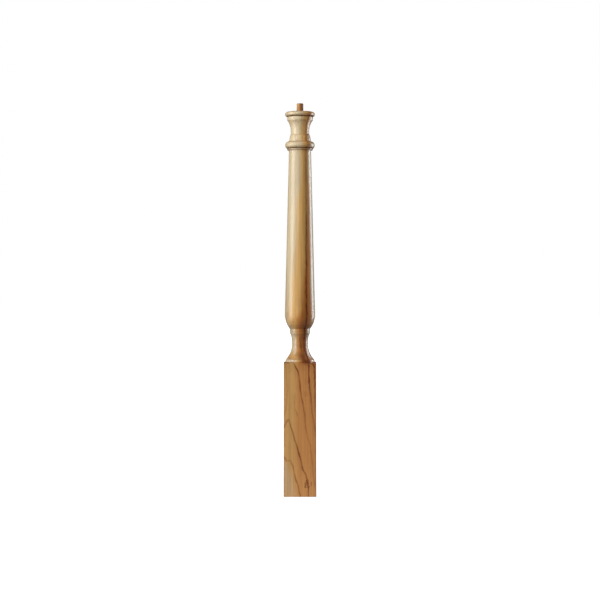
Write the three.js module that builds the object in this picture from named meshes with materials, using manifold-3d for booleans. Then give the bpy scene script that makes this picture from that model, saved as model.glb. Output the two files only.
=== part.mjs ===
// Newel post with a square block at its foot, a turned baluster shaft and a pin on its cap.
// Millimetres, +Z up. The origin is the centre of the underside, and the block's faces look along X and Y.

import * as THREE from "three";
import { mergeVertices } from "three/addons/utils/BufferGeometryUtils.js";
import Module from "manifold-3d";

// Driving dimensions of the blank and its block
const BLANK_SIDE = 88.9;
const ARRIS = 0.6; // flat that eases each long edge of the blank
const BLOCK_HEIGHT = 359.4; // floor to the corners, where the turning starts
const SHOULDER_RISE = 8.6; // corners of the block up to the foot ring
const SHOULDER_CROWN = 1.1; // how far the shoulder swells from a straight cone

// Driving dimensions of the lower turnings, from the block up
const FOOT_RING_DIAMETER = 79.8;
const FOOT_RING_HEIGHT = 5.2;
const FLARE_FOOT_DIAMETER = 79.2; // where the flare springs from the foot ring
const FLARE_TOP_DIAMETER = 46.4; // where it starts to ease into the neck
const FLARE_RISE = 30.8;
const FLARE_HOLLOW = 2.2; // how far the flare is hollowed from a straight cone
const NECK_EASE_RISE = 10.0;
const NECK_DIAMETER = 43.9;
const NECK_LENGTH = 9.0; // the straight stretch between flare and throat
const THROAT_RISE = 21.2;
const THROAT_DIAMETER = 52.2; // where the neck meets the ring band
const BAND_FOOT_DIAMETER = 54.4;
const BAND_TOP_DIAMETER = 55.8;
const BAND_HEIGHT = 14.2;

// Driving dimensions of the vase and the long taper above it
const VASE_FOOT_DIAMETER = 56.4;
const VASE_RISE = 38.4;
const VASE_DIAMETER = 83.0;
const BELLY_LENGTH = 7.4; // the straight stretch round the widest part of the vase
const TAPER_RISE = 446.8;
const TAPER_TOP_DIAMETER = 60.9;

// Driving dimensions of the quirks, the narrow grooves that set each bead off from what is below it
const QUIRK_RISE = 2.0;
const QUIRK_DEPTH = 2.4;

// Driving dimensions of the fillet and of the lower bead over it.
// A crown is how far an arc swells from the straight line between its ends.
const FILLET_FOOT_DIAMETER = 69.8;
const FILLET_TOP_DIAMETER = 72.0;
const FILLET_HEIGHT = 3.1;
const LOWER_BEAD_FOOT_DIAMETER = 73.6;
const LOWER_BEAD_TOP_DIAMETER = 61.6; // also the foot of the cove
const LOWER_BEAD_HEIGHT = 18.6;
const LOWER_BEAD_CROWN = 6.9;

// Driving dimensions of the cove and the collar over it
const COVE_FOOT_RISE = 17.3; // the plain cone at the foot of the cove
const COVE_KICK_DIAMETER = 54.6;
const COVE_KICK_RISE = 3.8; // the short turn from that cone into the waist
const WAIST_DIAMETER = 50.6;
const WAIST_LENGTH = 6.2;
const COVE_RISE = 29.8;
const COVE_TOP_DIAMETER = 67.8;
const COLLAR_FOOT_DIAMETER = 69.6;
const COLLAR_TOP_DIAMETER = 72.2;
const COLLAR_HEIGHT = 9.4;

// Driving dimensions of the upper bead, whose top is the flat cap
const UPPER_BEAD_FOOT_DIAMETER = 72.2;
const UPPER_BEAD_HEIGHT = 12.3;
const UPPER_BEAD_CROWN = 6.8;
const CAP_FLAT_DIAMETER = 65.6;

// Driving dimensions of the pin and of the bored hole that holds it
const PIN_DIAMETER = 18.5;
const PIN_STANDS = 24.2; // how far it stands above the cap
const PIN_BURIED = 32.0; // how far it goes down into the cap
const PIN_CHAMFER = 1.0;
const GLUE_GAP = 0.3; // all round the pin, and under it

// Fineness of the facets
const SIDES = 64; // round the post, a multiple of 8 so that facets mirror on the block's faces
const PIN_SIDES = 32;
const CHORD_ERROR = 0.12; // most that a facet departs from a true arc
const MERGE = 1e-4;

// Colours of bare and finished wood
const POST_COLOUR = 0xc69a63;
const PIN_COLOUR = 0xb07c48;

const wasm = await Module();
wasm.setup();

// The outline of a turned piece, drawn upwards from its foot as a turner marks it out.
// Every call adds to the height, so a change in one length carries all that is above it.
class Outline {
  constructor(foot, height = 0) {
    this.height = height;
    this.points = [];
    this.step(foot);
  }

  // A flat step in or out at the present height.
  step(diameter) {
    this.radius = diameter / 2;
    this.points.push(new THREE.Vector2(this.radius, this.height));
    return this;
  }

  // A plain cylinder or cone.
  straight(rise, diameter) {
    this.height += rise;
    return this.step(diameter);
  }

  // A circular arc whose middle stands out from the straight line by crown. A negative crown is a hollow.
  arc(rise, diameter, crown) {
    const from = new THREE.Vector2(this.radius, this.height);
    const to = new THREE.Vector2(diameter / 2, this.height + rise);
    const along = to.clone().sub(from);
    const half = along.length() / 2;
    const sweep = 2 * Math.atan(crown / half); // half of the arc's angle
    if (Math.abs(sweep) > MERGE) {
      along.normalize();
      const out = new THREE.Vector2(along.y, -along.x);
      const radius = half / Math.sin(Math.abs(sweep));
      const facet = 2 * Math.acos(1 - CHORD_ERROR / radius);
      const facets = Math.max(2, Math.ceil((2 * Math.abs(sweep)) / facet));
      const middle = from.clone().add(to).multiplyScalar(0.5);
      for (let i = 1; i < facets; i++) {
        const angle = sweep * ((2 * i) / facets - 1);
        const ahead = (half * Math.sin(angle)) / Math.sin(sweep);
        const aside = (half * (Math.cos(angle) - Math.cos(sweep))) / Math.sin(sweep);
        this.points.push(middle.clone().addScaledVector(along, ahead).addScaledVector(out, aside));
      }
    }
    return this.straight(rise, diameter);
  }

  // The crown of an arc that stands upright at one of its ends.
  crownOfUpright(rise, diameter) {
    const across = Math.abs(diameter / 2 - this.radius);
    return (Math.hypot(across, rise) / 2) * Math.tan(Math.atan2(across, rise) / 2);
  }

  // A hollow arc, upright at its narrow end.
  cove(rise, diameter) {
    return this.arc(rise, diameter, -this.crownOfUpright(rise, diameter));
  }

  // A swelling arc, upright at its wide end.
  swell(rise, diameter) {
    return this.arc(rise, diameter, this.crownOfUpright(rise, diameter));
  }

  // A V-shaped groove, cut to depth below the present surface.
  quirk(rise, depth, diameter) {
    const floor = 2 * (this.radius - depth);
    return this.straight(rise / 2, floor).straight(rise / 2, diameter);
  }

  // The solid of revolution, closed on the axis at both ends.
  geometry(sides) {
    const first = this.points[0];
    const last = this.points[this.points.length - 1];
    const axisFoot = new THREE.Vector2(0, first.y);
    const axisTop = new THREE.Vector2(0, last.y);
    return new THREE.LatheGeometry([axisFoot, ...this.points, axisTop], sides).rotateX(Math.PI / 2);
  }
}

// A closed mesh as a solid that can be cut.
function solidOf(geometry) {
  const bare = geometry.clone();
  bare.deleteAttribute("normal");
  bare.deleteAttribute("uv");
  const merged = mergeVertices(bare, MERGE);
  return new wasm.Manifold(
    new wasm.Mesh({
      numProp: 3,
      vertProperties: merged.attributes.position.array,
      triVerts: new Uint32Array(merged.index.array),
    }),
  );
}

// A cut solid as a geometry again.
function geometryOf(solid) {
  const { vertProperties, triVerts } = solid.getMesh();
  const geometry = new THREE.BufferGeometry();
  geometry.setAttribute("position", new THREE.BufferAttribute(vertProperties, 3));
  geometry.setIndex(new THREE.BufferAttribute(triVerts, 1));
  geometry.computeVertexNormals();
  return geometry;
}

// The square blank, with its long edges eased.
function blankGeometry(height) {
  const half = BLANK_SIDE / 2;
  const inner = half - ARRIS;
  const section = new THREE.Shape();
  section.moveTo(half, -inner).lineTo(half, inner).lineTo(inner, half).lineTo(-inner, half);
  section.lineTo(-half, inner).lineTo(-half, -inner).lineTo(-inner, -half).lineTo(inner, -half);
  section.closePath();
  return new THREE.ExtrudeGeometry(section, { depth: height, bevelEnabled: false });
}

// Everything the turner cuts, from outside the block's corners up to the flat cap
function turnedOutline() {
  const cornerToCorner = BLANK_SIDE * Math.SQRT2;
  const clearOfBlock = cornerToCorner + BLANK_SIDE;
  const outline = new Outline(clearOfBlock);
  outline.straight(BLOCK_HEIGHT, clearOfBlock).step(cornerToCorner);

  outline.arc(SHOULDER_RISE, FOOT_RING_DIAMETER, SHOULDER_CROWN);
  outline.straight(FOOT_RING_HEIGHT, FOOT_RING_DIAMETER).step(FLARE_FOOT_DIAMETER);
  outline.arc(FLARE_RISE, FLARE_TOP_DIAMETER, -FLARE_HOLLOW).cove(NECK_EASE_RISE, NECK_DIAMETER);
  outline.straight(NECK_LENGTH, NECK_DIAMETER);
  outline.cove(THROAT_RISE, THROAT_DIAMETER).step(BAND_FOOT_DIAMETER);
  outline.straight(BAND_HEIGHT, BAND_TOP_DIAMETER).step(VASE_FOOT_DIAMETER);

  outline.swell(VASE_RISE, VASE_DIAMETER).straight(BELLY_LENGTH, VASE_DIAMETER);
  outline.straight(TAPER_RISE, TAPER_TOP_DIAMETER).step(FILLET_FOOT_DIAMETER);
  outline.straight(FILLET_HEIGHT, FILLET_TOP_DIAMETER);
  outline.quirk(QUIRK_RISE, QUIRK_DEPTH, LOWER_BEAD_FOOT_DIAMETER);
  outline.arc(LOWER_BEAD_HEIGHT, LOWER_BEAD_TOP_DIAMETER, LOWER_BEAD_CROWN);

  outline.straight(COVE_FOOT_RISE, COVE_KICK_DIAMETER).cove(COVE_KICK_RISE, WAIST_DIAMETER);
  outline.straight(WAIST_LENGTH, WAIST_DIAMETER).cove(COVE_RISE, COVE_TOP_DIAMETER);
  outline.step(COLLAR_FOOT_DIAMETER).straight(COLLAR_HEIGHT, COLLAR_TOP_DIAMETER);
  outline.quirk(QUIRK_RISE, QUIRK_DEPTH, UPPER_BEAD_FOOT_DIAMETER);
  outline.arc(UPPER_BEAD_HEIGHT, CAP_FLAT_DIAMETER, UPPER_BEAD_CROWN);
  return outline;
}

// The bored hole in the cap, drawn past the cap so that it opens cleanly
function boreOutline(capHeight) {
  const diameter = PIN_DIAMETER + 2 * GLUE_GAP;
  const foot = capHeight - PIN_BURIED - GLUE_GAP;
  return new Outline(diameter, foot).straight(PIN_BURIED + GLUE_GAP + PIN_STANDS, diameter);
}

// The post: the square blank wherever the turner left it, and the turned form everywhere else
function turnedPost() {
  const outline = turnedOutline();
  const blank = solidOf(blankGeometry(outline.height));
  const turned = solidOf(outline.geometry(SIDES));
  const bore = solidOf(boreOutline(outline.height).geometry(PIN_SIDES));
  const finish = new THREE.MeshStandardMaterial({ color: POST_COLOUR, roughness: 0.38, metalness: 0 });
  const post = new THREE.Mesh(geometryOf(blank.intersect(turned).subtract(bore)), finish);
  post.name = "turned_post";
  return { post, capHeight: outline.height };
}

// The pin: a plain dowel with its top edge eased
function topPin(capHeight) {
  const outline = new Outline(PIN_DIAMETER, -PIN_BURIED);
  outline.straight(PIN_BURIED + PIN_STANDS - PIN_CHAMFER, PIN_DIAMETER);
  outline.straight(PIN_CHAMFER, PIN_DIAMETER - 2 * PIN_CHAMFER);
  const bareWood = new THREE.MeshStandardMaterial({ color: PIN_COLOUR, roughness: 0.6, metalness: 0 });
  const pin = new THREE.Mesh(outline.geometry(PIN_SIDES), bareWood);
  pin.name = "top_pin";
  pin.position.z = capHeight;
  return pin;
}

const newel = new THREE.Group();
const { post, capHeight } = turnedPost();
newel.add(post, topPin(capHeight));

export default newel;
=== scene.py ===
"""Newel post with a square block at its foot, a turned baluster shaft and a pin on its flat cap.

Blender 4.5 builds the post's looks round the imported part. Everything is in the part's own frame, in metres:
+Z up, the origin at the centre of the underside, the block's faces along X and Y, and -Y towards the
viewer. Sizes stand in millimetres, as a turner reads them, and MM turns them into metres.
"""

import logging
import math
from dataclasses import dataclass, field, fields
from enum import Enum

import bmesh
import bpy
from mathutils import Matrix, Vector


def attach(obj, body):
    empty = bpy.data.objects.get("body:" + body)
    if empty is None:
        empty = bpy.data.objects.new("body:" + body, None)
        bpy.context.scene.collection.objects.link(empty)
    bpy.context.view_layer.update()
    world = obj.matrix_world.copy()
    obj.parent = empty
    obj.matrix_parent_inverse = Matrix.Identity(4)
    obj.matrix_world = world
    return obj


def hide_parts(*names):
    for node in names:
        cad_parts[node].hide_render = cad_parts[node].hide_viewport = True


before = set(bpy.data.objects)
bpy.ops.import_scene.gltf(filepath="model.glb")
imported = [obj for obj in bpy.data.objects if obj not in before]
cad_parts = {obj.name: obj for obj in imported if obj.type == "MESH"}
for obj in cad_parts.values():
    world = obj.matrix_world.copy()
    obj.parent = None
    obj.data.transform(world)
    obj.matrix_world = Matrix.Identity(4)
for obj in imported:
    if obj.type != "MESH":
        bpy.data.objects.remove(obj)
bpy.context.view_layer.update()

logging.basicConfig(level=logging.INFO, format="%(message)s")
log = logging.getLogger("newel")

MM = 0.001
BODY = "root"

Socket = bpy.types.NodeSocket
Sockets = bpy.types.bpy_prop_collection
Object = bpy.types.Object
Material = bpy.types.Material
Value = Socket | float | int | tuple | str
Feeds = dict[str | int, Value]
Marks = tuple[tuple[float, float], ...]

WHITE = (1.0, 1.0, 1.0, 1.0)
ORIGIN = (0.0, 0.0, 0.0)


class Slot(Enum):
    """The record's material slots."""

    POST = "post_wood"
    PIN = "pin_wood"


def paint(code: str) -> tuple[float, float, float, float]:
    """Turns a screen colour into the linear colour that shaders take.

    Args:
        code: Six hexadecimal digits, red first.

    Returns:
        Linear red, green, blue and a full alpha.
    """
    shares = [int(code[i : i + 2], 16) / 255 for i in (0, 2, 4)]
    linear = [s / 12.92 if s <= 0.04045 else ((s + 0.055) / 1.055) ** 2.4 for s in shares]
    return (*linear, 1.0)


def put(name: str, data: bpy.types.ID) -> Object:
    """Puts a new object at the origin of the scene.

    Args:
        name: The object's name.
        data: Its mesh, lamp or camera.

    Returns:
        The object.
    """
    made = bpy.data.objects.new(name, data)
    bpy.context.scene.collection.objects.link(made)
    return made


class Graph:
    """Adds nodes to a tree and joins them in one step."""

    def __init__(self, tree: bpy.types.NodeTree) -> None:
        """Takes the tree that the nodes go into."""
        self.tree = tree

    @classmethod
    def cleared(cls, owner: Material | bpy.types.World) -> "Graph":
        """Clears the tree of a material or a world, to fill it anew.

        Args:
            owner: The material or the world.

        Returns:
            The graph of its empty tree.
        """
        owner.use_nodes = True
        owner.node_tree.nodes.clear()
        return cls(owner.node_tree)

    def add(self, kind: str, feeds: Feeds | None = None, **settings: object) -> bpy.types.Node:
        """Adds one node.

        Args:
            kind: The node's Blender type.
            feeds: What goes into its inputs, by name or place: a socket to join, or a value to set.
            **settings: The node's own properties.

        Returns:
            The new node.
        """
        node = self.tree.nodes.new(kind)
        for name, value in settings.items():
            setattr(node, name, value)
        for key, value in (feeds or {}).items():
            if isinstance(value, Socket):
                self.tree.links.new(value, node.inputs[key])
            else:
                node.inputs[key].default_value = value
        return node

    def math(self, operation: str, *values: Value, clamp: bool = False) -> Socket:
        """Adds a Math node and returns its result; with clamp it stays from 0 to 1."""
        feeds = dict(enumerate(values))
        return self.add("ShaderNodeMath", feeds, operation=operation, use_clamp=clamp).outputs[0]

    def whole(self, operation: str, *values: Value) -> Socket:
        """Adds an Integer Math node and returns its result."""
        return self.add("FunctionNodeIntegerMath", dict(enumerate(values)), operation=operation).outputs[0]

    def parts(self, vector: Value) -> Sockets:
        """Splits a vector into its X, Y and Z."""
        return self.add("ShaderNodeSeparateXYZ", {0: vector}).outputs

    def vector(self, operation: str, *values: Value) -> Socket:
        """Adds a Vector Math node and returns its vector."""
        return self.add("ShaderNodeVectorMath", dict(enumerate(values)), operation=operation).outputs[0]

    def scaled(self, vector: Value, factor: Value) -> Socket:
        """Returns a vector or a colour times a factor."""
        return self.add("ShaderNodeVectorMath", {0: vector, "Scale": factor}, operation="SCALE").outputs[0]

    def length(self, vector: Value) -> Socket:
        """Returns how long a vector is."""
        return self.add("ShaderNodeVectorMath", {0: vector}, operation="LENGTH").outputs["Value"]

    def ramp(self, value: Value, low: float, high: float, start: float = 0.0, end: float = 1.0) -> Socket:
        """Returns a smooth change from start to end, while a value goes from low to high."""
        feeds = dict(enumerate((value, low, high, start, end)))
        return self.add("ShaderNodeMapRange", feeds, interpolation_type="SMOOTHSTEP").outputs[0]

    def mix(self, share: Value, first: Value, second: Value, blend: str = "MIX") -> Socket:
        """Mixes two colours by the second one's share, and returns the mixture."""
        feeds = {0: share, 6: first, 7: second}
        return self.add("ShaderNodeMix", feeds, data_type="RGBA", blend_type=blend).outputs[2]

    def stain(self, share: Value, wood: Value, code: str) -> Socket:
        """Darkens wood by a share, for grain, end grain and painted shade, so that its own colour still shows
        through.
        """
        return self.mix(share, wood, self.mix(1.0, wood, paint(code), "MULTIPLY"))


class Outline:
    """The line that a turner's tool follows up a piece, marked out from the foot as in the part's source.

    Sizes come in millimetres and the points are kept in metres, as radius and height.
    """

    FACET = 1.4 * MM
    LONG_FACET = 14 * MM
    FEWEST_FACETS = 3
    LEAST_STEP = 0.001 * MM
    SANDED_TURN = math.radians(25)
    SANDED_SHARE = 0.4

    def __init__(self, foot: float, height: float = 0.0) -> None:
        """Starts the line.

        Args:
            foot: The diameter at its foot.
            height: How high its foot stands.
        """
        self.height = height * MM
        self.points: list[tuple[float, float]] = []
        self.step(foot)

    def step(self, diameter: float) -> "Outline":
        """Makes a flat step in or out at the present height.

        Args:
            diameter: The diameter after the step.

        Returns:
            The outline, for the next cut.
        """
        self.radius = diameter / 2 * MM
        self.points.append((self.radius, self.height))
        return self

    def straight(self, rise: float, diameter: float) -> "Outline":
        """Cuts a plain cylinder or cone.

        Args:
            rise: Its height.
            diameter: Its far end's diameter.

        Returns:
            The outline, for the next cut.
        """
        across = diameter / 2 * MM - self.radius
        pieces = max(1, round(abs(rise) * MM / self.LONG_FACET))
        for k in range(1, pieces):
            share = k / pieces
            self.points.append((self.radius + across * share, self.height + rise * MM * share))
        self.height += rise * MM
        return self.step(diameter)

    def arc(self, rise: float, diameter: float, crown: float) -> "Outline":
        """Cuts a circular arc.

        Args:
            rise: Its height.
            diameter: Its far end's diameter.
            crown: How far its middle stands out from the straight line; a negative crown is a hollow.

        Returns:
            The outline, for the next cut.
        """
        across, up = diameter / 2 * MM - self.radius, rise * MM
        chord = math.hypot(across, up)
        sweep = 2 * math.atan(crown * MM / (chord / 2))
        radius = chord / 2 / math.sin(sweep)
        pieces = max(self.FEWEST_FACETS, round(2 * abs(sweep * radius) / self.FACET))
        for k in range(1, pieces):
            angle = sweep * (2 * k / pieces - 1)
            ahead = 0.5 + radius * math.sin(angle) / chord
            aside = radius * (math.cos(angle) - math.cos(sweep)) / chord
            out = self.radius + across * ahead + up * aside
            self.points.append((out, self.height + up * ahead - across * aside))
        self.height += up
        return self.step(diameter)

    def upright_crown(self, rise: float, diameter: float) -> float:
        """Returns the crown of an arc that stands upright at one of its ends."""
        across = abs(diameter / 2 - self.radius / MM)
        return math.hypot(across, rise) / 2 * math.tan(math.atan2(across, rise) / 2)

    def cove(self, rise: float, diameter: float) -> "Outline":
        """Cuts a hollow that is upright at its narrow end."""
        return self.arc(rise, diameter, -self.upright_crown(rise, diameter))

    def swell(self, rise: float, diameter: float) -> "Outline":
        """Cuts a swelling that is upright at its wide end."""
        return self.arc(rise, diameter, self.upright_crown(rise, diameter))

    def quirk(self, rise: float, depth: float, diameter: float) -> "Outline":
        """Cuts the narrow groove that sets a bead off from what is below it."""
        floor = 2 * self.radius / MM - 2 * depth
        return self.straight(rise / 2, floor).straight(rise / 2, diameter)

    def sanded(self, ease: float) -> list[tuple[float, float]]:
        """Rounds the corners that stand out, as sandpaper does.

        Args:
            ease: How far from a corner the rounding starts, in metres.

        Returns:
            The points, with three in place of each outer corner.
        """
        eased = [self.points[0]]
        for before, corner, after in zip(self.points, self.points[1:], self.points[2:]):
            back, ahead = Vector(before) - Vector(corner), Vector(after) - Vector(corner)
            if min(back.length, ahead.length) < self.LEAST_STEP:
                continue
            if (-back).angle_signed(ahead) > -self.SANDED_TURN:
                eased.append(corner)
                continue
            reach = min(ease, self.SANDED_SHARE * back.length, self.SANDED_SHARE * ahead.length)
            first = Vector(corner) + back.normalized() * reach
            last = Vector(corner) + ahead.normalized() * reach
            middle = (first + last) / 4 + Vector(corner) / 2
            eased += [tuple(first), tuple(middle), tuple(last)]
        eased.append(self.points[-1])
        return eased


@dataclass(frozen=True)
class Row:
    """One ring of a turned mesh.

    Its radius is a length of its own plus a share of the square section's reach, and its height a length of
    its own plus a share of the crease's height, where the turned shoulder meets the flat of the block. A
    row on the shoulder takes its height from the shoulder's arc.
    """

    radius: float
    height: float
    reach_share: float = 0.0
    crease_share: float = 0.0
    on_shoulder: float = 0.0


ROW_SHARES = ("reach_share", "crease_share", "on_shoulder")


@dataclass(frozen=True)
class Section:
    """The square section of the blank and the arc of the shoulder that is turned on it, in metres."""

    blank_side: float
    arris: float
    shoulder_arc_radius: float
    shoulder_centre_radius: float
    shoulder_centre_height: float


@dataclass
class Lathe:
    """Geometry Nodes tree that turns rows of an outline, but keeps them square where the blank was."""

    corner_facets: int = 3
    face_facets: int = 36
    merge_distance: float = 0.01 * MM
    crisp_angle: float = math.radians(28)
    tree: bpy.types.NodeTree = field(init=False)
    sockets: dict[str, str] = field(init=False, default_factory=dict)

    def __post_init__(self) -> None:
        """Builds the tree once."""
        self.tree = bpy.data.node_groups.new("lathe", "GeometryNodeTree")
        self.declare()
        self.fill(Graph(self.tree))

    def declare(self) -> None:
        """Names the tree's inputs and keeps their identifiers."""
        kinds = {
            "NodeSocketGeometry": ["outline"],
            "NodeSocketFloat": [*(size.name for size in fields(Section)), "merge_distance", "crisp_angle"],
            "NodeSocketInt": ["corner_facets", "face_facets"],
            "NodeSocketMaterial": ["material"],
        }
        for kind, names in kinds.items():
            for name in names:
                title = name.replace("_", " ").title()
                made = self.tree.interface.new_socket(name=title, in_out="INPUT", socket_type=kind)
                self.sockets[name] = made.identifier
        self.tree.interface.new_socket(name="Piece", in_out="OUTPUT", socket_type="NodeSocketGeometry")

    def fill(self, g: Graph) -> None:
        """Adds the nodes that make the piece.

        Args:
            g: The tree's graph.
        """
        given = g.add("NodeGroupInput").outputs
        outline = given["Outline"]
        section, columns = self.square_section(g, given)
        size = g.add("GeometryNodeAttributeDomainSize", {0: outline}, component="MESH")
        rows = size.outputs["Point Count"]

        around = g.whole("ADD", columns, 1)
        grid = g.add("GeometryNodeMeshGrid", {"Vertices X": around, "Vertices Y": rows}).outputs["Mesh"]
        index = g.add("GeometryNodeInputIndex").outputs[0]
        row = g.whole("MODULO", index, rows)
        column = g.whole("MODULO", g.whole("DIVIDE_FLOOR", index, rows), columns)

        corner = self.sampled(g, section, column)
        reach = g.length(corner)
        place = g.parts(self.sampled(g, outline, row))
        reach_share, crease_share, on_shoulder = (self.sampled(g, outline, row, name) for name in ROW_SHARES)
        radius = g.math("MULTIPLY_ADD", reach, reach_share, place["X"])
        crease = self.shoulder_height(g, given, reach)
        plain_height = g.math("MULTIPLY_ADD", crease, crease_share, place["Z"])
        rise = g.math("SUBTRACT", self.shoulder_height(g, given, radius), plain_height)
        height = g.math("MULTIPLY_ADD", rise, on_shoulder, plain_height)

        spoke = g.parts(g.scaled(g.vector("NORMALIZE", corner), radius))
        position = g.add("ShaderNodeCombineXYZ", {0: spoke["X"], 1: spoke["Y"], 2: height}).outputs[0]
        turned = g.add("GeometryNodeSetPosition", {"Geometry": grid, "Position": position}).outputs[0]
        feeds = {"Geometry": turned, "Distance": given["Merge Distance"]}
        closed = g.add("GeometryNodeMergeByDistance", feeds).outputs[0]
        smooth = g.add("GeometryNodeSetShadeSmooth", {"Geometry": closed, "Shade Smooth": True}).outputs[0]
        bend = g.add("GeometryNodeInputMeshEdgeAngle").outputs["Unsigned Angle"]
        pair = {0: bend, 1: given["Crisp Angle"]}
        soft = g.add("FunctionNodeCompare", pair, operation="LESS_THAN").outputs[0]
        feeds = {"Geometry": smooth, "Shade Smooth": soft}
        creased = g.add("GeometryNodeSetShadeSmooth", feeds, domain="EDGE").outputs[0]
        real = g.add("GeometryNodeRealizeInstances", {0: creased}).outputs[0]
        feeds = {"Geometry": real, "Material": given["Material"]}
        g.add("NodeGroupOutput", {0: g.add("GeometryNodeSetMaterial", feeds).outputs[0]})

    def square_section(self, g: Graph, given: Sockets) -> tuple[Socket, Socket]:
        """Draws the blank's section, with its eased edges and with points all along its flats.

        Args:
            g: The tree's graph.
            given: The tree's inputs.

        Returns:
            The section's curve, and how many points it has.
        """
        sides = {"Width": given["Blank Side"], "Height": given["Blank Side"]}
        square = g.add("GeometryNodeCurvePrimitiveQuadrilateral", sides).outputs[0]
        feeds = {"Curve": square, "Count": given["Corner Facets"], "Radius": given["Arris"]}
        eased = g.add("GeometryNodeFilletCurve", feeds, mode="POLY").outputs[0]
        index = g.add("GeometryNodeInputIndex").outputs[0]
        on_corner = g.whole("ADD", given["Corner Facets"], 1)
        along = g.whole("MODULO", index, on_corner)
        pair = {2: along, 3: given["Corner Facets"]}
        starts_flat = g.add("FunctionNodeCompare", pair, data_type="INT", operation="EQUAL").outputs[0]
        extra = g.whole("SUBTRACT", given["Face Facets"], 1)
        feeds = {"Switch": starts_flat, "False": 0, "True": extra}
        cuts = g.add("GeometryNodeSwitch", feeds, input_type="INT").outputs[0]
        divided = g.add("GeometryNodeSubdivideCurve", {"Curve": eased, "Cuts": cuts}).outputs[0]
        size = g.add("GeometryNodeAttributeDomainSize", {0: divided}, component="CURVE")
        return divided, size.outputs["Point Count"]

    def sampled(self, g: Graph, source: Socket, index: Socket, name: str = "") -> Socket:
        """Reads one point of another shape.

        Args:
            g: The tree's graph.
            source: The other shape.
            index: Which of its points.
            name: Which of the point's named numbers to read, or nothing for its place.

        Returns:
            The number or the place.
        """
        kind = "FLOAT" if name else "FLOAT_VECTOR"
        if name:
            value = g.add("GeometryNodeInputNamedAttribute", {"Name": name}, data_type=kind).outputs[0]
        else:
            value = g.add("GeometryNodeInputPosition").outputs[0]
        feeds = {"Geometry": source, "Value": value, "Index": index}
        return g.add("GeometryNodeSampleIndex", feeds, data_type=kind, domain="POINT").outputs[0]

    def shoulder_height(self, g: Graph, given: Sockets, radius: Socket) -> Socket:
        """Works out how high the shoulder's arc stands at a radius.

        Args:
            g: The tree's graph.
            given: The tree's inputs.
            radius: How far from the axis.

        Returns:
            The height of the arc there.
        """
        across = g.math("SUBTRACT", radius, given["Shoulder Centre Radius"])
        arc = g.math("POWER", given["Shoulder Arc Radius"], 2.0)
        square = g.math("SUBTRACT", arc, g.math("MULTIPLY", across, across))
        above = g.math("SQRT", g.math("MAXIMUM", square, 0.0))
        return g.math("ADD", above, given["Shoulder Centre Height"])

    def turn(self, name: str, rows: list[Row], section: Section, material: Material) -> Object:
        """Turns one piece and makes it a plain mesh.

        Args:
            name: The piece's name.
            rows: Its rows, from the foot's centre to the top's centre.
            section: Its square section and its shoulder.
            material: Its finish.

        Returns:
            The piece, at the origin, with no modifier.
        """
        mesh = bpy.data.meshes.new(name + "_outline")
        mesh.from_pydata([(row.radius, 0.0, row.height) for row in rows], [], [])
        for key in ROW_SHARES:
            shares = mesh.attributes.new(key, "FLOAT", "POINT").data
            shares.foreach_set("value", [getattr(row, key) for row in rows])
        marked = put(name + "_outline", mesh)
        modifier = marked.modifiers.new("lathe", "NODES")
        modifier.node_group = self.tree
        values = vars(self) | vars(section) | {"material": material}
        for key, socket in self.sockets.items():
            if key in values:
                modifier[socket] = values[key]
        shaped = marked.evaluated_get(bpy.context.evaluated_depsgraph_get())
        piece = put(name, bpy.data.meshes.new_from_object(shaped))
        bpy.data.objects.remove(marked)
        piece.data.name = name
        face_outward(piece.data)
        return piece


def face_outward(mesh: bpy.types.Mesh) -> None:
    """Turns every face of a mesh outwards.

    Args:
        mesh: A closed mesh.
    """
    shape = bmesh.new()
    shape.from_mesh(mesh)
    bmesh.ops.recalc_face_normals(shape, faces=shape.faces)
    shape.to_mesh(mesh)
    shape.free()


class ShaderGroup:
    """A shader node group with named inputs and outputs."""

    def __init__(self, name: str, takes: dict[str, Value], gives: list[str]) -> None:
        """Args:
            name: The group's name.
            takes: Its inputs with their first values; a tuple of three is a vector.
            gives: Its outputs, all plain numbers.
        """
        self.tree = bpy.data.node_groups.new(name, "ShaderNodeTree")
        for key, value in takes.items():
            kind = "NodeSocketVector" if isinstance(value, tuple) else "NodeSocketFloat"
            self.tree.interface.new_socket(name=key, in_out="INPUT", socket_type=kind).default_value = value
        for key in gives:
            self.tree.interface.new_socket(name=key, in_out="OUTPUT", socket_type="NodeSocketFloat")
        self.graph = Graph(self.tree)
        self.given = self.graph.add("NodeGroupInput").outputs
        self.result = self.graph.add("NodeGroupOutput").inputs

    def give(self, name: str, socket: Socket) -> None:
        """Joins a result to the group's output of that name."""
        self.tree.links.new(socket, self.result[name])

    def use(self, g: Graph, feeds: Feeds, label: str = "") -> Sockets:
        """Places the group in a material and returns its outputs."""
        return g.add("ShaderNodeGroup", feeds, node_tree=self.tree, label=label).outputs


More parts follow.
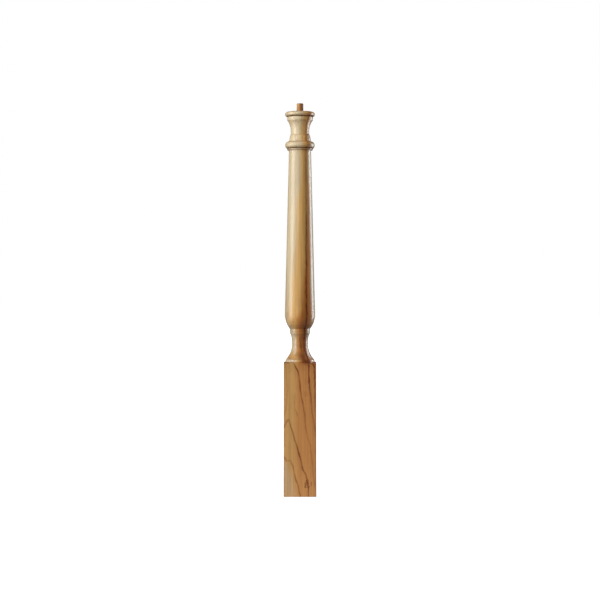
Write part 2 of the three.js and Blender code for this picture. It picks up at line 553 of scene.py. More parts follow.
def fibre_group() -> ShaderGroup:
    """Makes the group for the fibres that run up the grain.

    Returns:
        A group that gives hair-fine fibre, broader streaks, slow changes of tone, and the short waves and
        patches that a growth line follows, all about 0.
    """
    takes = {"Point": ORIGIN, "Fibre Width": 1.2 * MM, "Streak Width": 4 * MM, "Length Ratio": 60.0}
    group = ShaderGroup("fibres", takes, ["Fibre", "Streak", "Tone", "Wave", "Patch"])
    g, given = group.graph, group.given

    def run(width: Value, ratio: Value, detail: float, offset: float) -> Socket:
        """Adds noise that is drawn out along the grain.

        Args:
            width: The width of a fibre, in metres.
            ratio: Its length in widths.
            detail: How many finer layers it has.
            offset: A shift that keeps the layers apart.

        Returns:
            The noise, about 0.
        """
        place = g.parts(given["Point"])
        x, y, z = (g.math("DIVIDE", place[axis], width) for axis in "XYZ")
        upward = g.math("ADD", g.math("DIVIDE", z, ratio), offset)
        point = g.add("ShaderNodeCombineXYZ", {0: x, 1: y, 2: upward}).outputs[0]
        feeds = {"Vector": point, "Scale": 1.0, "Detail": detail, "Roughness": 0.6}
        noise = g.add("ShaderNodeTexNoise", feeds)
        return g.math("SUBTRACT", noise.outputs["Fac"], 0.5)

    group.give("Fibre", run(given["Fibre Width"], given["Length Ratio"], detail=2.0, offset=3.0))
    group.give("Streak", run(given["Streak Width"], given["Length Ratio"], detail=1.0, offset=11.0))
    group.give("Tone", run(width=30 * MM, ratio=5.0, detail=1.0, offset=19.0))
    group.give("Wave", run(width=12 * MM, ratio=1.1, detail=2.0, offset=29.0))
    group.give("Patch", run(width=20 * MM, ratio=1.3, detail=1.0, offset=37.0))
    return group


def growth_and_shade_line_group() -> ShaderGroup:
    """Makes the group for one dark line, which draws late wood and painted shade alike.

    Returns:
        A group that gives how dark the line is at a point: a soft core, and a longer shade to one side.
    """
    takes = {"Across": 0.0, "Course": 0.0, "Width": 1.6 * MM, "Trail": 8 * MM, "Trail Share": 0.3,
             "Strength": 1.0}
    group = ShaderGroup("growth_and_shade_line", takes, ["Shade"])
    g, given = group.graph, group.given
    away = g.math("SUBTRACT", given["Across"], given["Course"])
    spread = g.math("POWER", g.math("DIVIDE", g.math("ABSOLUTE", away), given["Width"]), 2.0)
    core = g.math("EXPONENT", g.math("MULTIPLY", spread, -1.0))
    fading = g.math("EXPONENT", g.math("DIVIDE", away, given["Trail"]))
    before = g.math("LESS_THAN", away, 0.0)
    trail = g.math("MULTIPLY", g.math("MULTIPLY", fading, before), given["Trail Share"])
    group.give("Shade", g.math("MULTIPLY", g.math("MAXIMUM", core, trail), given["Strength"]))
    return group


def end_grain_group() -> ShaderGroup:
    """Makes the group for end grain, which shows where a surface faces up or down the trunk.

    Returns:
        A group that gives the share of end grain and its open pores.
    """
    group = ShaderGroup("end_grain", {"Point": ORIGIN, "Pore Size": 0.7 * MM}, ["Share", "Pores"])
    g, given = group.graph, group.given
    facing = g.parts(g.add("ShaderNodeNewGeometry").outputs["Normal"])["Z"]
    share = g.ramp(g.math("ABSOLUTE", facing), low=0.15, high=0.95)
    drawn_out = g.vector("MULTIPLY", given["Point"], (1.0, 1.0, 0.1))
    scale = g.math("DIVIDE", 1.0, given["Pore Size"])
    cells = g.add("ShaderNodeTexVoronoi", {"Vector": drawn_out, "Scale": scale})
    pore = g.ramp(cells.outputs["Distance"], low=0.15, high=0.45, start=1.0, end=0.0)
    group.give("Share", share)
    group.give("Pores", g.math("MULTIPLY", pore, share))
    return group


@dataclass(frozen=True)
class GrowthAndShadeLine:
    """A dark sheet that runs up through the timber, in millimetres. Most are late wood; those whose names
    say shade are painted shade, in whole or in part.

    Its course gives heights above the floor, and how far to the right the sheet then lies at the post's
    axis. Its depth gives heights, and how dark the line is there.
    """

    name: str
    course: Marks
    depth: Marks = ((0, 1.0),)
    width: float = 2.2
    trail: float = 8.0


@dataclass(frozen=True)
class Knot:
    """A small pin knot, in millimetres."""

    place: tuple[float, float, float]
    size: tuple[float, float, float]
    strength: float = 1.0


@dataclass(frozen=True)
class PaintedCreaseShade:
    """A ring of painted shade in a groove, a corner or under a bead, in millimetres; its depth is how dark it
    is.
    """

    height: float
    reach: float
    depth: float


@dataclass(frozen=True)
class TimberFinish:
    """Softwood with dark growth lines, lacquered or left bare.

    Each border gives heights, and how far to the right one kind of wood then meets the next, in
    millimetres; the sap border's jump on the foot ring and the far border's dip on the ring band paint
    a highlight there. The browning gives heights, and how brown the wood is there. The scaling by
    height gives heights, and what the wood's colour is multiplied by there; its bump on the foot ring
    is a painted highlight.
    """

    name: str
    sap: str
    golden: str
    ruddy: str
    # The colour of the growth lines, the pores and the painted shade.
    line: str
    end_tone: str
    lines: tuple[GrowthAndShadeLine, ...]
    knots: tuple[Knot, ...]
    slant: float
    coat: float
    coat_roughness: float
    roughness: float
    bare_gloss: float
    sap_border_and_highlight: Marks
    ruddy_border: Marks
    far_border_and_highlight: Marks = ((0, 90.0),)
    sap_blend: float = 10.0
    ruddy_blend: float = 9.0
    far_blend: float = 5.0
    brown: str = "d09a60"
    browning: Marks = ((0, 0.0),)
    pooled: tuple[PaintedCreaseShade, ...] = ()
    paleness: Marks = ((0, 1.0),)

    # What the curves by height can span
    HEIGHT_SPAN = 1100.0
    ACROSS_SPAN = 200.0
    SHARE_SPAN = 4.0

    # How far the slow changes of tone and the waves push borders and growth lines aside
    TONE_DRIFT = 20 * MM
    LINE_TONE_DRIFT = 3 * MM
    WAVE_DRIFT = 5 * MM

    # How strongly each part of the figure shows in the colour, the relief and the gloss
    PATCH_CONTRAST = 1.3
    PATCH_MEAN = 0.85
    FIBRE_CONTRAST = 0.34
    STREAK_CONTRAST = 0.55
    END_STAIN = 0.55
    PORE_STAIN = 0.3
    LINE_RELIEF = -0.6
    RELIEF_STRENGTH = 0.12
    RELIEF_DEPTH = 0.4 * MM
    STREAK_ROUGHNESS = 0.2
    END_COAT_LOSS = 0.3

    def by_height(self, g: Graph, height: Socket, marks: Marks, span: float) -> Socket:
        """Adds a curve that gives a value at each height.

        Args:
            g: The material's graph.
            height: The height, in metres.
            marks: Heights in millimetres with the value at each.
            span: The curve's reach, from minus a half of it to a half of it.

        Returns:
            The value at the height.
        """
        node = g.add("ShaderNodeFloatCurve", {"Value": g.math("DIVIDE", height, self.HEIGHT_SPAN * MM)})
        curve = node.mapping.curves[0]
        spots = [(up / self.HEIGHT_SPAN, 0.5 + value / span) for up, value in sorted(marks)]
        curve.points[0].location = spots[0]
        curve.points[-1].location = spots[-1] if len(spots) > 1 else (1.0, spots[0][1])
        for spot in spots[1:-1]:
            curve.points.new(*spot)
        for point in curve.points:
            point.handle_type = "VECTOR"
        node.mapping.use_clip = False
        node.mapping.extend = "HORIZONTAL"
        node.mapping.update()
        return g.math("MULTIPLY", g.math("SUBTRACT", node.outputs[0], 0.5), span)

    def across_by_height(self, g: Graph, height: Socket, marks: Marks) -> Socket:
        """Adds a curve that gives how far to the right something lies at each height, in metres."""
        return g.math("MULTIPLY", self.by_height(g, height, marks, self.ACROSS_SPAN), MM)

    def across(self, g: Graph, place: Sockets) -> Socket:
        """Returns how far across the timber's growth a place lies, where the growth runs at a slant."""
        return g.math("MULTIPLY_ADD", place["Y"], self.slant, place["X"])

    def growth(self, g: Graph, group: ShaderGroup, place: Sockets, wander: Socket, patchy: Socket) -> Socket:
        """Adds every growth line and every sheet of painted shade.

        Args:
            g: The material's graph.
            group: The group that draws the growth lines and the painted shade.
            place: The place in the timber, one number a direction.
            wander: A small sideways drift that keeps the lines from looking ruled.
            patchy: How much of its darkness a line keeps from place to place.

        Returns:
            How dark the lines are, from 0 to 1.
        """
        across = g.math("ADD", self.across(g, place), wander)
        total: Value = 0.0
        for line in self.lines:
            course = self.across_by_height(g, place["Z"], line.course)
            depth = self.by_height(g, place["Z"], line.depth, self.SHARE_SPAN)
            feeds = {"Across": across, "Course": course, "Width": line.width * MM, "Trail": line.trail * MM,
                     "Strength": g.math("MULTIPLY", depth, patchy)}
            total = g.math("MAXIMUM", group.use(g, feeds, line.name)["Shade"], total)
        return total

    def zones(self, g: Graph, place: Sockets, tone: Socket) -> Socket:
        """Lays out the pale sapwood, the golden wood and the ruddy heart, side by side across the timber,
        then browns and scales them by height; the pale wood on the foot ring and at the ring band's right
        end is a painted highlight.

        Args:
            g: The material's graph.
            place: The place in the timber, one number a direction.
            tone: Slow changes of tone, about 0.

        Returns:
            The wood's colour before its figure.
        """
        across = g.math("MULTIPLY_ADD", tone, self.TONE_DRIFT, self.across(g, place))

        def past(border: Marks, blend: float) -> Socket:
            """Returns how far past a border the wood lies, from 0 before it to 1 beyond it."""
            edge = self.across_by_height(g, place["Z"], border)
            return g.ramp(g.math("SUBTRACT", across, edge), -blend * MM, blend * MM)

        # The sap border's jump on the foot ring paints a highlight there.
        inner = past(self.sap_border_and_highlight, self.sap_blend)
        heart = past(self.ruddy_border, self.ruddy_blend)
        wood = g.mix(heart, g.mix(inner, paint(self.sap), paint(self.golden)), paint(self.ruddy))
        # Pale wood on the right; its dip on the ring band paints a highlight there.
        wood = g.mix(past(self.far_border_and_highlight, self.far_blend), wood, paint(self.sap))
        wood = g.mix(self.by_height(g, place["Z"], self.browning, self.SHARE_SPAN), wood, paint(self.brown))
        # Scaled by height; the bump on the foot ring is a painted highlight.
        return g.scaled(wood, self.by_height(g, place["Z"], self.paleness, self.SHARE_SPAN))

    def painted_crease_shade(self, g: Graph, height: Socket) -> Socket:
        """Adds the rings of painted shade in the grooves, the corners and under the beads.

        Args:
            g: The material's graph.
            height: The height, in metres.

        Returns:
            How dark the rings are, from 0 to 1.
        """
        total: Value = 0.0
        for ring in self.pooled:
            away = g.math("ABSOLUTE", g.math("SUBTRACT", height, ring.height * MM))
            shade = g.ramp(away, low=0.0, high=ring.reach * MM, start=ring.depth, end=0.0)
            total = g.math("MAXIMUM", shade, total)
        return total

    def knot_shade(self, g: Graph, point: Socket) -> Socket:
        """Adds the pin knots, each a dark eye in a paler disc with a dark rim.

        Args:
            g: The material's graph.
            point: The place in the timber.

        Returns:
            How dark the knots are, from 0 to 1.
        """
        total: Value = 0.0
        for knot in self.knots:
            centre = tuple(v * MM for v in knot.place)
            stretch = tuple(1 / (v * MM) for v in knot.size)
            far = g.length(g.vector("MULTIPLY", g.vector("SUBTRACT", point, centre), stretch))
            rim_outside = g.ramp(far, low=0.85, high=1.3, start=1.0, end=0.0)
            rim = g.math("MULTIPLY", g.ramp(far, low=0.45, high=0.8), rim_outside)
            shade = g.math("MAXIMUM", rim, g.ramp(far, low=0.1, high=0.4, start=1.0, end=0.3))
            inside = g.ramp(far, low=1.1, high=1.4, start=knot.strength, end=0.0)
            total = g.math("MAXIMUM", g.math("MULTIPLY", shade, inside), total)
        return total

    def material(self, groups: "Groups") -> Material:
        """Builds the finish.

        Args:
            groups: The shader groups that the finishes share.

        Returns:
            The material.
        """
        made = bpy.data.materials.new(self.name)
        g = Graph.cleared(made)
        point = g.add("ShaderNodeTexCoord").outputs["Object"]
        place = g.parts(point)
        fibres = groups.fibres.use(g, {"Point": point})
        ends = groups.end_grain.use(g, {"Point": point})
        tone_drift = g.math("MULTIPLY", fibres["Tone"], self.LINE_TONE_DRIFT)
        wander = g.math("MULTIPLY_ADD", fibres["Wave"], self.WAVE_DRIFT, tone_drift)
        patchy = g.math("MULTIPLY_ADD", fibres["Patch"], self.PATCH_CONTRAST, self.PATCH_MEAN, clamp=True)
        # The growth lines, with the sheets of painted shade among them.
        growth = self.growth(g, groups.growth_and_shade_line, place, wander, patchy)
        lines = g.math("MAXIMUM", growth, self.knot_shade(g, point))

        streaks = g.math("MULTIPLY_ADD", fibres["Streak"], self.STREAK_CONTRAST, 1.0)
        figure = g.math("MULTIPLY_ADD", fibres["Fibre"], self.FIBRE_CONTRAST, streaks)
        wood = g.scaled(self.zones(g, place, fibres["Tone"]), figure)
        wood = g.stain(lines, wood, self.line)
        # Painted shade in the grooves and creases, in the colour of the growth lines.
        wood = g.stain(self.painted_crease_shade(g, place["Z"]), wood, self.line)
        wood = g.stain(g.math("MULTIPLY", ends["Share"], self.END_STAIN), wood, self.end_tone)
        wood = g.stain(g.math("MULTIPLY", ends["Pores"], self.PORE_STAIN), wood, self.line)

        ridges = g.math("ADD", fibres["Fibre"], fibres["Streak"])
        relief = g.math("MULTIPLY_ADD", lines, self.LINE_RELIEF, ridges)
        bumps = {"Height": relief, "Strength": self.RELIEF_STRENGTH, "Distance": self.RELIEF_DEPTH}
        coat_loss = -self.END_COAT_LOSS * self.coat
        feeds = {
            "Base Color": wood,
            "Roughness": g.math("MULTIPLY_ADD", fibres["Streak"], self.STREAK_ROUGHNESS, self.roughness),
            "Specular IOR Level": self.bare_gloss,
            "Coat Weight": g.math("MULTIPLY_ADD", ends["Share"], coat_loss, self.coat),
            "Coat Roughness": self.coat_roughness,
            "Normal": g.add("ShaderNodeBump", bumps).outputs[0],
        }
        g.add("ShaderNodeOutputMaterial", {0: g.add("ShaderNodeBsdfPrincipled", feeds).outputs[0]})
        return made


@dataclass(frozen=True)
class Groups:
    """The shader groups that the finishes share."""

    fibres: ShaderGroup
    growth_and_shade_line: ShaderGroup
    end_grain: ShaderGroup


POST_LINES = (
    GrowthAndShadeLine("heart",
               ((0, 62), (150, 30), (207.3, 18.9), (240.1, 14), (272.8, 11.8), (302.9, 7.7), (338.4, 5.5),
                (365.7, 6.3), (378, 7.8), (418, 6.7)),
               ((0, 0.5), (210, 0.45), (270, 0.65), (300, 1), (372, 1), (385, 0)), width=2.7, trail=15),
    GrowthAndShadeLine("heart_above",
               ((355, 9), (369, 10.4), (376, 9.9), (382, 9.4), (390, 7.2), (401, 4.6), (409, 3.9), (423, 4),
                (443, 3.2), (458, 2.4), (500, 3.7), (560, 3), (720, 3.7), (900, 6), (950, 6.2), (980, 8),
                (1005, 9), (1032, 12), (1055, 14)),
               ((360, 0), (372, 1), (560, 1), (700, 0.85), (820, 0.65), (930, 0.5), (960, 0.5), (1005, 0.6),
                (1035, 0.9), (1055, 0.5)), width=3.2, trail=2.5),
    # Painted shade on the lower bead's right side and underside.
    GrowthAndShadeLine("bead_painted_shade",
               ((940, 13), (980, 13)),
               ((946, 0), (952, 0.55), (962, 0.5), (970, 0)), width=9),
    # A dark streak up the neck and the flare, which also paints shade on the block's top edge under the foot
    # ring.
    GrowthAndShadeLine("neck_streak_and_shade",
               ((330, 0), (357, -3), (365, -3), (372, -5), (385, -8), (400, -4), (430, -2), (470, -3.3),
                (520, -8), (600, -8)),
               ((320, 0), (345, 0.2), (359, 0.25), (362, 0.6), (364, 0.95), (368, 1), (384, 1), (392, 0.6),
                (402, 0.4), (430, 0.4), (470, 0.45), (495, 0.4), (540, 0.2), (600, 0)), width=12),
    GrowthAndShadeLine("heart_fork",
               ((150, 30), (240, 24.5), (300, 23), (355, 21.9), (362, 19.5), (366, 14), (370, 10.4)),
               ((170, 0), (220, 0.5), (355, 1), (368, 1), (374, 0)), width=2.4, trail=4),
    GrowthAndShadeLine("neck_branch",
               ((330, 6), (365, 3.2), (371, 0.5), (376, -3.5), (384.5, -6.2), (395, -6.2), (409, -6.2),
                (423, -8.7), (442, -12.1), (470, -13)),
               ((335, 0), (345, 0.3), (365, 0.8), (400, 0.8), (440, 0.5), (490, 0.25),
                (520, 0)), width=2.7),
    GrowthAndShadeLine("middle",
               ((0, 28), (72.2, 16.4), (109, 13.1), (139.1, 10.1), (174.6, 0.6), (193.7, -2.7),
                (220.2, -4.3), (243.6, -7.6), (266, -13.4), (282.7, -16.1), (317.6, -19.6), (341.1, -22.9),
                (368.4, -37.1), (420, -34), (700, -26), (1055, -24)),
               ((0, 0.35), (180, 0.4), (240, 0.6), (280, 0.9), (355, 1), (368, 0.5), (390, 0.15),
                (1000, 0.1)), width=2.4),
    GrowthAndShadeLine("arch_right",
               ((0, 6), (27.1, 4.7), (57.2, 0), (76.3, -10.3), (100.9, -15), (120, -21.3), (155.5, -32.2),
                (178.7, -38.5), (212.8, -49.4)),
               ((0, 0.9), (120, 0.9), (190, 0.8), (212, 0.6), (215, 0)), trail=5),
    GrowthAndShadeLine("arch_left",
               ((150, -78), (195, -59.2), (212.8, -49.4)),
               ((150, 0.5), (212, 0.7), (215, 0))),
    GrowthAndShadeLine("inner_right",
               ((0, -16), (18.9, -19.6), (40.8, -26.7), (61.3, -32.2), (81.8, -36.8), (102, -44.7)),
               ((0, 0.7), (90, 0.6), (102, 0.5), (105, 0)), trail=4),
    GrowthAndShadeLine("inner_left",
               ((96, -53.5), (108.5, -60.4), (118, -64)),
               ((94.5, 0), (96, 0.7), (110, 0.7), (114, 0)), width=2.4, trail=3),
    GrowthAndShadeLine("inner_rise",
               ((95, -55), (98, -50), (102, -44.7)),
               ((94.5, 0), (95.5, 0.6), (102, 0.6), (103.5, 0)), width=3.4, trail=3),
    # These two darken the wood along the front face's right and left edges.
    GrowthAndShadeLine("right_edge",
               ((0, 25.8), (340, 25.8)),
               ((0, 0.6), (340, 0.6), (356, 0.3), (366, 0)), width=2.6),
    GrowthAndShadeLine("left_edge",
               ((0, -61.6), (340, -61.6)),
               ((0, 0.5), (340, 0.5), (356, 0.3), (366, 0)), width=1.3),
    GrowthAndShadeLine("short",
               ((224.2, -25.9), (240.9, -32.7), (286.5, -32.7)),
               ((215, 0), (225, 0.5), (275, 0.45), (290, 0)), width=1.5),
    GrowthAndShadeLine("outer",
               ((0, 90), (100, 62), (200, 47), (240, 42), (300, 36), (365, 34), (500, 30), (800, 32),
                (1055, 28)),
               ((0, 0.7), (365, 0.6), (600, 0.35), (1055, 0.3))),
    GrowthAndShadeLine("left",
               ((215, -62), (240, -56), (300, -52), (368, -58)),
               ((216, 0), (225, 0.3), (400, 0.3))),
)
POST_KNOTS = (
    Knot((19.8, -44.45, 43), (3.2, 8, 4.4), 1),
    Knot((15.2, -44.45, 35), (2.4, 8, 4.4), 0.95),
    Knot((21.2, -44.45, 36), (2.8, 8, 3.8), 1),
    Knot((14.8, -44.45, 27.5), (2.4, 8, 3.2), 0.95),
    Knot((23.1, -44.45, 28), (2.8, 8, 3.2), 1),
    Knot((31, -44.45, 35.5), (1.9, 8, 5.4), 0.6),
    Knot((15.6, -44.45, 281), (5, 9, 7), 0.3),
)
PIN_LINES = (GrowthAndShadeLine("pin_line", ((1020, 0), (1080, -1)), ((1020, 0.5),)),)
# Rings of painted shade in the grooves and creases of the turning and under its beads.
PAINTED_CREASE_SHADES = (
    PaintedCreaseShade(366.4, 1.8, 0.35),
    PaintedCreaseShade(452.4, 1.6, 0.3),
    PaintedCreaseShade(467, 1.6, 0.35),
    PaintedCreaseShade(950.5, 2.8, 0.35),
    PaintedCreaseShade(954.9, 2.4, 0.9),
    PaintedCreaseShade(1042.8, 2.2, 0.7),
)
# Its jump to -16 mm from 368.4 to 373 mm makes the foot ring pale: a painted highlight on the ring.
SAP_BORDER_AND_HIGHLIGHT = ((0, -22), (50, -38), (88, -54), (108, -70), (345, -70), (366, -66), (368.4, -16), (373, -16),
              (376, -46), (388, -31), (402, -18), (440, -17), (456, -24), (468, -38), (480, -44),
              (510, -42), (560, -36), (620, -30), (700, -25), (820, -16), (900, -9), (950, -8), (1060, -4))
RUDDY_BORDER = ((0, -20), (100, -30), (340, -32), (366, -24), (371, -10), (382, -15), (402, -14),
                (450, -16), (485, -22), (508, -12), (540, -9), (600, -2), (700, 4), (820, 8), (900, 13),
                (1060, 16))
# Its dip to 9 mm from 443 to 457 mm makes the ring band's right end pale: a painted highlight on the band.
FAR_BORDER_AND_HIGHLIGHT = ((0, 46), (340, 38), (366, 34), (380, 22), (400, 15), (432, 15), (443, 9), (457, 9), (468, 27),
              (500, 26), (540, 20), (700, 16), (900, 15), (960, 18), (1060, 24))
BROWNING = ((0, 0.7), (100, 0.45), (120, 0.45), (345, 0.45), (370, 0.1), (400, 0))
# Scales the wood's colour by height: paler at the foot and the head, darker from the block's top to the vase;
# the bump on the foot ring is a painted highlight.
PALENESS_AND_HIGHLIGHT = ((0, 1.2), (60, 1.14), (120, 1.08), (220, 1.04), (330, 1.02), (345, 0.97), (362, 0.9),
            (368.5, 1.12), (373, 1.12), (376, 0.98), (385, 0.93), (405, 0.88), (480, 0.95), (560, 1),
            (700, 1.03), (880, 1.06), (960, 1.16), (1060, 1.2))


@dataclass
class TurnedPost:
    """The post: a square blank whose upper two thirds are turned, with a bored hole in its cap.

    The sizes are those of the part's source, in millimetres.
    """

    blank_side: float = 88.9
    arris: float = 0.6
    block_height: float = 359.4
    shoulder_rise: float = 8.6
    shoulder_crown: float = 1.1

    foot_ring_diameter: float = 79.8
    foot_ring_height: float = 5.2
    flare_foot_diameter: float = 79.2
    flare_top_diameter: float = 46.4
    flare_rise: float = 30.8
    flare_hollow: float = 2.2
    neck_ease_rise: float = 10.0
    neck_diameter: float = 43.9
    neck_length: float = 9.0
    throat_rise: float = 21.2
    throat_diameter: float = 52.2
    band_foot_diameter: float = 54.4
    band_top_diameter: float = 55.8
    band_height: float = 14.2

    vase_foot_diameter: float = 56.4
    vase_rise: float = 38.4
    vase_diameter: float = 83.0
    belly_length: float = 7.4
    taper_rise: float = 446.8
    taper_top_diameter: float = 60.9

    fillet_foot_diameter: float = 69.8
    fillet_top_diameter: float = 72.0
    fillet_height: float = 3.1
    lower_bead_foot_diameter: float = 73.6
    lower_bead_top_diameter: float = 61.6
    lower_bead_height: float = 18.6
    lower_bead_crown: float = 6.9

    cove_foot_rise: float = 17.3
    cove_kick_diameter: float = 54.6
    cove_kick_rise: float = 3.8
    waist_diameter: float = 50.6
    waist_length: float = 6.2
    cove_rise: float = 29.8
    cove_top_diameter: float = 67.8
    collar_foot_diameter: float = 69.6
    collar_top_diameter: float = 72.2
    collar_height: float = 9.4
    upper_bead_foot_diameter: float = 72.2
    upper_bead_height: float = 12.3
    upper_bead_crown: float = 6.8
    cap_flat_diameter: float = 65.6
    quirk_rise: float = 2.0
    quirk_depth: float = 2.4

    bore_diameter: float = 19.1
    bore_depth: float = 32.3
    sanding: float = 0.35
    foot_ease: float = 0.4
    shoulder_rows: int = 14
    block_rows: int = 30

    FOOT_RINGS = (0.0, 0.4, 0.8)

    def turned(self) -> Outline:
        """Marks out everything above the shoulder, then the cap and the bore.

        Returns:
            The outline, from the top of the shoulder to the centre of the bore's floor.
        """
        line = Outline(self.foot_ring_diameter, self.block_height + self.shoulder_rise)
        line.straight(self.foot_ring_height, self.foot_ring_diameter).step(self.flare_foot_diameter)
        line.arc(self.flare_rise, self.flare_top_diameter, -self.flare_hollow)
        line.cove(self.neck_ease_rise, self.neck_diameter).straight(self.neck_length, self.neck_diameter)
        line.cove(self.throat_rise, self.throat_diameter).step(self.band_foot_diameter)
        line.straight(self.band_height, self.band_top_diameter).step(self.vase_foot_diameter)

        line.swell(self.vase_rise, self.vase_diameter).straight(self.belly_length, self.vase_diameter)
        line.straight(self.taper_rise, self.taper_top_diameter).step(self.fillet_foot_diameter)
        line.straight(self.fillet_height, self.fillet_top_diameter)
        line.quirk(self.quirk_rise, self.quirk_depth, self.lower_bead_foot_diameter)
        line.arc(self.lower_bead_height, self.lower_bead_top_diameter, self.lower_bead_crown)

        line.straight(self.cove_foot_rise, self.cove_kick_diameter)
        line.cove(self.cove_kick_rise, self.waist_diameter)
        line.straight(self.waist_length, self.waist_diameter).cove(self.cove_rise, self.cove_top_diameter)
        line.step(self.collar_foot_diameter).straight(self.collar_height, self.collar_top_diameter)
        line.quirk(self.quirk_rise, self.quirk_depth, self.upper_bead_foot_diameter)
        line.arc(self.upper_bead_height, self.cap_flat_diameter, self.upper_bead_crown)
        line.step((self.cap_flat_diameter + self.bore_diameter) / 2).step(self.bore_diameter)
        line.straight(-self.bore_depth, self.bore_diameter).step(0.0)
        return line

    def section(self) -> Section:
        """Works out the circle that the shoulder's arc lies on, from its two ends and its crown.

        Returns:
            The blank's section with the shoulder's arc.
        """
        outer = Vector((self.blank_side / math.sqrt(2), self.block_height))
        inner = Vector((self.foot_ring_diameter / 2, self.block_height + self.shoulder_rise))
        half = (inner - outer).length / 2
        radius = (half * half + self.shoulder_crown**2) / (2 * self.shoulder_crown)
        along = (inner - outer).normalized()
        inward = Vector((-along.y, along.x))
        centre = (inner + outer) / 2 + inward * (radius - self.shoulder_crown)
        return Section(self.blank_side * MM, self.arris * MM, radius * MM, centre.x * MM, centre.y * MM)

    def rows(self) -> list[Row]:
        """Lists the rows of the whole post.

        Returns:
            The rows, from the centre of its underside up and over to the bore's floor.
        """
        ease = self.foot_ease * MM
        ring = self.foot_ring_diameter / 2 * MM
        found = [Row(0.0, 0.0, share) for share in self.FOOT_RINGS]
        found += [Row(-ease, 0.0, 1.0), Row(0.0, ease, 1.0)]
        found += [Row(0.0, 0.0, 1.0, k / self.block_rows) for k in range(1, self.block_rows)]
        found.append(Row(0.0, -ease, 1.0, 1.0))
        found.append(Row(-ease, 0.0, 1.0, on_shoulder=1.0))
        for k in range(1, self.shoulder_rows):
            inward = k / self.shoulder_rows
            found.append(Row(ring * inward, 0.0, 1 - inward, on_shoulder=1.0))
        return found + [Row(radius, height) for radius, height in self.turned().sanded(self.sanding * MM)]

    def build(self, lathe: Lathe, material: Material) -> Object:
        """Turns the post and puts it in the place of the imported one.

        Args:
            lathe: The tree that turns it.
            material: Its finish.

        Returns:
            The finished piece.
        """
        piece = lathe.turn("newel_timber", self.rows(), self.section(), material)
        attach(piece, BODY)
        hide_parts("turned_post")
        return piece


@dataclass
class TopPin:
    """The plain dowel that is glued into the cap, in millimetres."""

    cap_height: float = 1055.5
    diameter: float = 18.5
    stands: float = 24.2
    buried: float = 32.0
    chamfer: float = 1.0
    sanding: float = 0.3

    def rows(self) -> list[Row]:
        """Lists the rows of the pin.

        Returns:
            The rows, from the centre of its foot to the centre of its end.
        """
        line = Outline(0.0, self.cap_height - self.buried).step(self.diameter)
        line.straight(self.buried + self.stands - self.chamfer, self.diameter)
        line.straight(self.chamfer, self.diameter - 2 * self.chamfer).step(self.diameter / 2).step(0.0)
        return [Row(radius, height) for radius, height in line.sanded(self.sanding * MM)]

    def build(self, lathe: Lathe, section: Section, material: Material) -> Object:
        """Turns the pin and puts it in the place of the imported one.

        Args:
            lathe: The tree that turns it.
            section: The section whose points the pin's facets follow.
            material: Its finish.

        Returns:
            The finished piece.
        """
        piece = lathe.turn("pin_dowel", self.rows(), section, material)
        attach(piece, BODY)
        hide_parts("top_pin")
        return piece


@dataclass(frozen=True)
class Softbox:
    """A soft lamp that faces the post. Its bearing is in degrees from the camera, to the right."""

    name: str
    bearing: float
    distance: float
    height: float
    width: float
    tall: float
    radiance: float
    mirrored: bool = True

    AIM_HEIGHT = 0.55

    def build(self) -> None:
        """Hangs the lamp."""
        lamp = bpy.data.lights.new(self.name, "AREA")
        lamp.shape = "RECTANGLE"
        lamp.size = self.width
        lamp.size_y = self.tall
        lamp.energy = self.radiance * math.pi * self.width * self.tall
        turn = math.radians(self.bearing)
        place = Vector((math.sin(turn), -math.cos(turn), 0.0)) * self.distance
        place.z = self.height
        aim = Vector((0.0, 0.0, self.AIM_HEIGHT))
        hung = put(self.name, lamp)
        hung.location = place
        hung.visible_glossy = self.mirrored
        hung.rotation_euler = (aim - place).to_track_quat("-Z", "Y").to_euler()


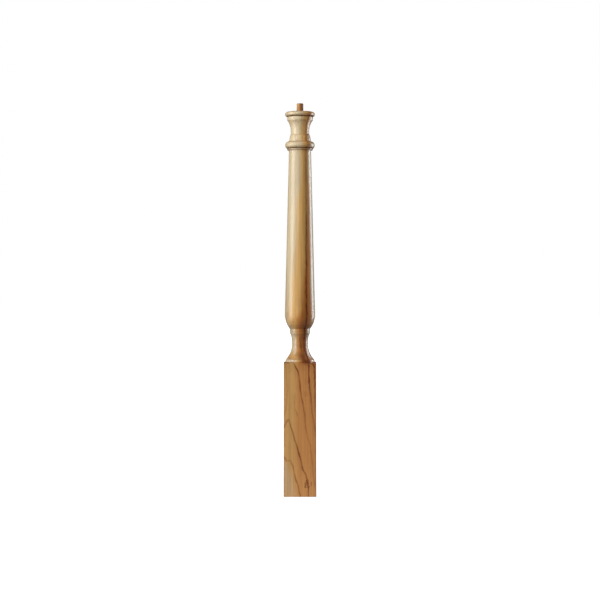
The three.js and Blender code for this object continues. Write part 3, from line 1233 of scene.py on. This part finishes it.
@dataclass
class Studio:
    """The pale floor, the soft lamps and the camera of the photograph, in metres.

    The floor's tones are what the camera sees, and its echo is what it gives back to the post.
    """

    camera_distance: float = 4.14
    camera_height: float = 0.5377
    camera_reach: float = 50.0
    lens: float = 90.0
    floor_side: float = 80.0
    floor_mottle: float = 60.0
    floor_tones: tuple[str, str] = ("e6e6e4", "eeeeec")
    floor_echo: str = "8a8a88"
    fill: float = 0.07
    shadow_core: float = 0.1
    shadow_radius: float = 0.9
    shadow_share: float = 0.25
    white_glow: float = 1.25
    lamps: tuple[Softbox, ...] = (
        Softbox("left_softbox", bearing=-72, distance=1.7, height=0.85, width=0.7, tall=1.9, radiance=5.3),
        Softbox("right_softbox", bearing=116, distance=1.6, height=0.8, width=0.6, tall=1.36, radiance=7.4),
        Softbox("left_wall", bearing=-34, distance=3.2, height=1.0, width=2.4, tall=3.0, radiance=3.0,
                mirrored=False),
        Softbox("overhead", bearing=-30, distance=1.0, height=2.7, width=1.4, tall=1.4, radiance=3.2,
                mirrored=False),
    )

    def build(self) -> None:
        """Sets up the floor, the light and the camera."""
        self.lay_floor()
        self.light_room()
        for lamp in self.lamps:
            lamp.build()
        self.place_camera()

    def place_camera(self) -> None:
        """Places the camera level with the photograph's horizon, square to the block's front."""
        data = bpy.data.cameras.new("view")
        data.lens = self.lens
        data.clip_end = self.camera_reach
        camera = put("view", data)
        camera.location = (0.0, -self.camera_distance, self.camera_height)
        camera.rotation_euler = (math.pi / 2, 0.0, 0.0)
        bpy.context.scene.camera = camera

    def light_room(self) -> None:
        """Gives the room a white background and a dim, even light."""
        scene = bpy.context.scene
        scene.view_settings.view_transform = "Standard"
        scene.world = bpy.data.worlds.new("room")
        g = Graph.cleared(scene.world)
        seen = g.add("ShaderNodeLightPath").outputs["Is Camera Ray"]
        strength = g.add("ShaderNodeMapRange", {0: seen, 3: self.fill, 4: 1.0}).outputs[0]
        sky = g.add("ShaderNodeBackground", {"Color": WHITE, "Strength": strength}).outputs[0]
        g.add("ShaderNodeOutputWorld", {0: sky})

    def lay_floor(self) -> None:
        """Lays a pale floor that is nearly white to the camera and keeps a faint shadow."""
        half = self.floor_side / 2
        mesh = bpy.data.meshes.new("floor")
        corners = [(-half, -half, 0.0), (half, -half, 0.0), (half, half, 0.0), (-half, half, 0.0)]
        mesh.from_pydata(corners, [], [(0, 1, 2, 3)])
        floor = put("floor", mesh)
        pale = bpy.data.materials.new("pale_floor")
        g = Graph.cleared(pale)
        mottle = g.add("ShaderNodeTexNoise", {"Scale": self.floor_mottle, "Detail": 2.0}).outputs["Fac"]
        tone = g.mix(mottle, *(paint(code) for code in self.floor_tones))
        matt = g.add("ShaderNodeBsdfDiffuse", {"Color": tone}).outputs[0]
        dull = g.add("ShaderNodeBsdfDiffuse", {"Color": paint(self.floor_echo)}).outputs[0]
        glow = g.add("ShaderNodeEmission", {"Color": WHITE, "Strength": self.white_glow}).outputs[0]
        point = g.add("ShaderNodeTexCoord").outputs["Object"]
        share = g.ramp(g.length(point), self.shadow_core, self.shadow_radius, self.shadow_share, end=0.0)
        look = g.add("ShaderNodeMixShader", {0: share, 1: glow, 2: matt}).outputs[0]
        seen = g.add("ShaderNodeLightPath").outputs["Is Camera Ray"]
        whole = g.add("ShaderNodeMixShader", {0: seen, 1: dull, 2: look}).outputs[0]
        g.add("ShaderNodeOutputMaterial", {0: whole})
        mesh.materials.append(pale)


def report(piece: Object) -> None:
    """Logs a piece's name and its number of triangles."""
    log.info("%s: %d triangles", piece.name, sum(len(face.vertices) - 2 for face in piece.data.polygons))


def main() -> None:
    """Builds the post, its pin and the studio round them."""
    groups = Groups(fibre_group(), growth_and_shade_line_group(), end_grain_group())
    post_finish = TimberFinish(
        "lacquered_timber", sap="c2b08e", golden="cd9f5c", ruddy="c07a38", line="844004", end_tone="a8805c",
        lines=POST_LINES, knots=POST_KNOTS, slant=0.4, coat=1.0, coat_roughness=0.3, roughness=0.5,
        bare_gloss=0.2, sap_border_and_highlight=SAP_BORDER_AND_HIGHLIGHT, ruddy_border=RUDDY_BORDER, far_border_and_highlight=FAR_BORDER_AND_HIGHLIGHT,
        browning=BROWNING, pooled=PAINTED_CREASE_SHADES, paleness=PALENESS_AND_HIGHLIGHT)
    # The pin's wood runs from pale on one side to dark on the other: painted shade over its own colour.
    pin_finish = TimberFinish(
        "bare_dowel", sap="bd925e", golden="a27346", ruddy="8a5e36", line="986a44", end_tone="b08a68",
        lines=PIN_LINES, knots=(), slant=0.4, coat=0.0, coat_roughness=0.5, roughness=0.62, bare_gloss=0.35,
        sap_border_and_highlight=((0, -5.0),), ruddy_border=((0, 4.0),), sap_blend=4.5, ruddy_blend=4.5)
    lathe = Lathe()
    post = TurnedPost()
    report(post.build(lathe, post_finish.material(groups)))
    report(TopPin().build(lathe, post.section(), pin_finish.material(groups)))
    Studio().build()


if __name__ == "__main__":
    main()
